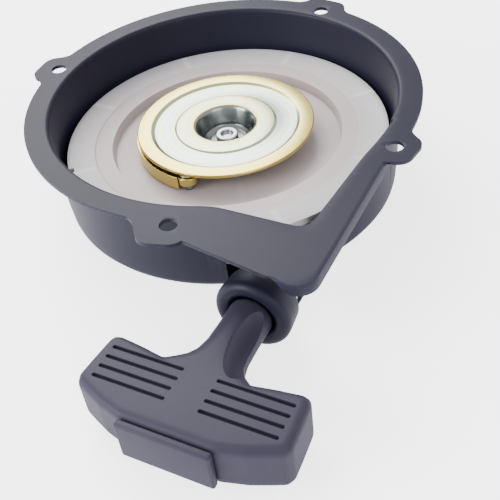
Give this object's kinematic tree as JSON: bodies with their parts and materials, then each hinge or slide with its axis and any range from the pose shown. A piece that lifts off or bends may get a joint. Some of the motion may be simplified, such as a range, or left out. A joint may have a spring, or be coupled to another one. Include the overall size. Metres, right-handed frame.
{
  "type": "recoil starter",
  "caption": "Pull-rope recoil starter: open steel case with eared flange, rope reel on a rewind spring, ratchet under a friction plate, flared rope guide and T handle.",
  "frame": {"origin": "centre of the case's closed outer face, on the reel's axis", "axes": "+Z along the reel's axis out of the open side, towards the engine; -Y the way the rope is pulled, with the rope's run at +X"},
  "size_m": [0.2097, 0.2737, 0.0495],
  "materials": {
    "case_paint": "satin slate-grey powder coat",
    "plain_steel": "plain machined or pressed steel",
    "spring_steel": "dark oiled spring steel",
    "reel_nylon": "natural nylon, slightly translucent",
    "bush_bronze": "sintered bronze",
    "yellow_zinc": "yellow passivated zinc plating, faintly iridescent",
    "bright_bolt": "bright zinc plating",
    "rope_cord": "black braided nylon",
    "handle_plastic": "dark slate moulded plastic, fine grain"
  },
  "bodies": {
    "case": {"starter_case": "case_paint", "centre_post": "plain_steel", "rope_guide": "case_paint", "guide_retainer": "plain_steel", "centre_bolt": "bright_bolt", "spring_washer": "plain_steel", "recoil_spring": "spring_steel"},
    "reel": {"reel": "reel_nylon", "reel_bushing": "bush_bronze", "spring_anchor": "plain_steel", "ratchet_pin": "plain_steel", "ratchet_spring": "spring_steel", "rope_winding": "rope_cord", "thrust_washer": "plain_steel", "friction_spring": "spring_steel"},
    "friction_plate": {"friction_plate": "yellow_zinc"},
    "ratchet": {"ratchet": "yellow_zinc"},
    "handle": {"handle_grip": "handle_plastic", "handle_cap": "handle_plastic", "rope_lead": "rope_cord", "rope_knot": "rope_cord", "knot_washer": "plain_steel"}
  },
  "joints": [
    {"name": "reel_spin", "type": "hinge", "parent": "case", "child": "reel", "pos_m": [0, 0, 0.018], "axis": [0, 0, -1], "range_deg": [0, 1080], "stiffness_Nm_per_rad": 0.06, "springref_deg": -458.37, "deforming": ["recoil_spring", "rope_winding"]},
    {"name": "handle_pull", "type": "slide", "parent": "case", "child": "handle", "axis": [0, -1, 0], "range_m": [0, 1.041], "deforming": ["rope_lead"]},
    {"name": "friction_plate_drag", "type": "hinge", "parent": "reel", "child": "friction_plate", "pos_m": [0, 0, 0.03], "axis": [0, 0, 1], "range_deg": [0, 25], "stiffness_Nm_per_rad": 0.004, "springref_deg": -17.19},
    {"name": "ratchet_swing", "type": "hinge", "parent": "reel", "child": "ratchet", "pos_m": [0, -0.0398, 0.026], "axis": [0, 0, 1], "range_deg": [0, 18.5], "deforming": ["ratchet_spring"]}
  ],
  "couplings": [
    {"joint": "handle_pull", "follows": "reel_spin", "m_per_rad": 0.0552},
    {"joint": "ratchet_swing", "follows": "friction_plate_drag", "ratio": 0.72}
  ]
}
